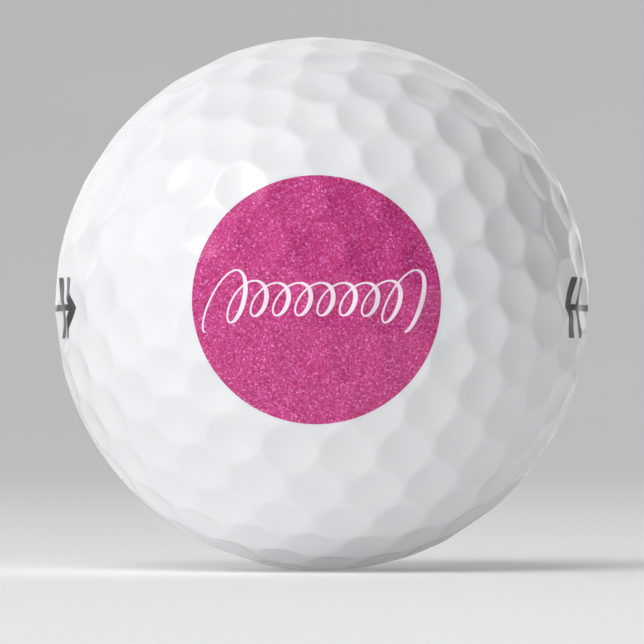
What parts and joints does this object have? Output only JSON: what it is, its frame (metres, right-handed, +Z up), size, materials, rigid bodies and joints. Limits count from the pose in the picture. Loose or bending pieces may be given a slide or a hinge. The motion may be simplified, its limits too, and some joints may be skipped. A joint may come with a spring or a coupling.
{
  "type": "golf ball",
  "caption": "Dimpled golf ball with a dual rubber core, mantle and glossy white cover, a round pink glitter print with a white pen flourish, and black arrow marks on its sides.",
  "frame": {"origin": "centre of the ball", "axes": "+Z up, away from what the ball rests on; the printed disc faces -Y and the side marks face -X and +X"},
  "size_m": [0.0427, 0.0427, 0.0426],
  "materials": {
    "white_urethane": "glossy clear-coated white",
    "mantle_ionomer": "moulded, satin",
    "outer_core_rubber": "moulded rubber, matt",
    "inner_core_rubber": "ground rubber, matt",
    "pink_glitter_ink": "fine glitter under clear coat",
    "white_ink": "satin printed ink",
    "black_ink": "satin printed ink"
  },
  "bodies": {
    "root": {"inner_core": "inner_core_rubber", "outer_core_left": "outer_core_rubber", "outer_core_right": "outer_core_rubber", "mantle_upper": "mantle_ionomer", "mantle_lower": "mantle_ionomer", "cover_upper": "white_urethane", "cover_lower": "white_urethane", "glitter_disc": "pink_glitter_ink", "disc_flourish": "white_ink", "side_mark_left": "black_ink", "side_mark_right": "black_ink"}
  },
  "joints": []
}
